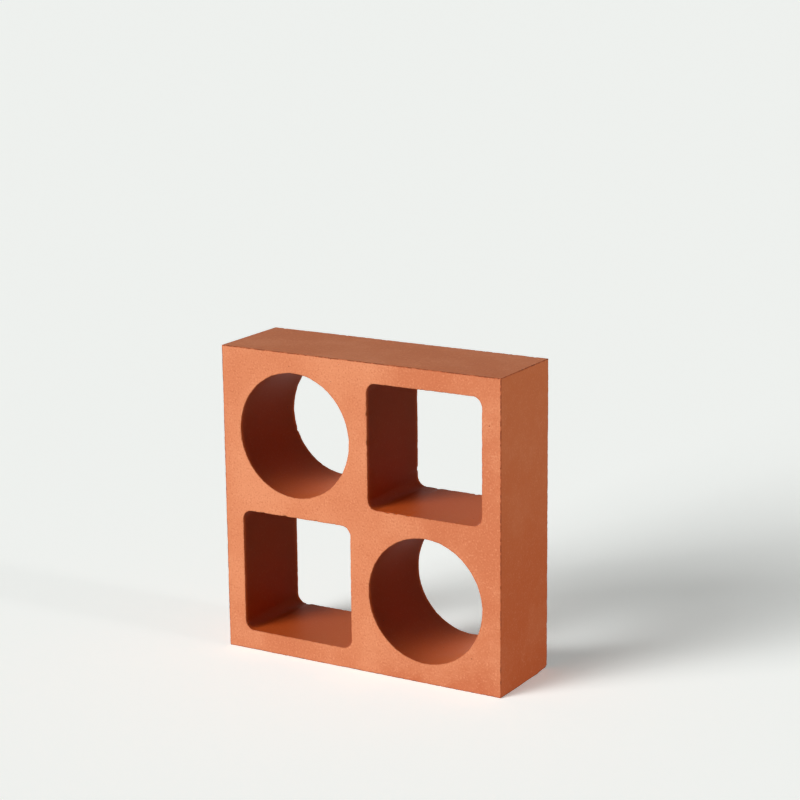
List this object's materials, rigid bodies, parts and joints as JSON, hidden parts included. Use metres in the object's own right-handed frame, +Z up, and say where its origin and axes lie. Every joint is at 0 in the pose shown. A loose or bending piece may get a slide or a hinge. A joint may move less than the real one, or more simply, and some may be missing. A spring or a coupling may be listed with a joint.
{
  "type": "breeze block",
  "caption": "Square pigmented-concrete screen block with round and rounded-square openings right through it.",
  "frame": {"origin": "middle of the lower bed face, on the floor", "axes": "+Z up, +X to the right of a viewer who faces the front, +Y from the front face to the back face"},
  "size_m": [0.195, 0.06, 0.195],
  "materials": {
    "concrete": "cast concrete pigmented terracotta orange, fine sandy face, matt"
  },
  "bodies": {
    "root": {"block": "concrete"}
  },
  "joints": []
}
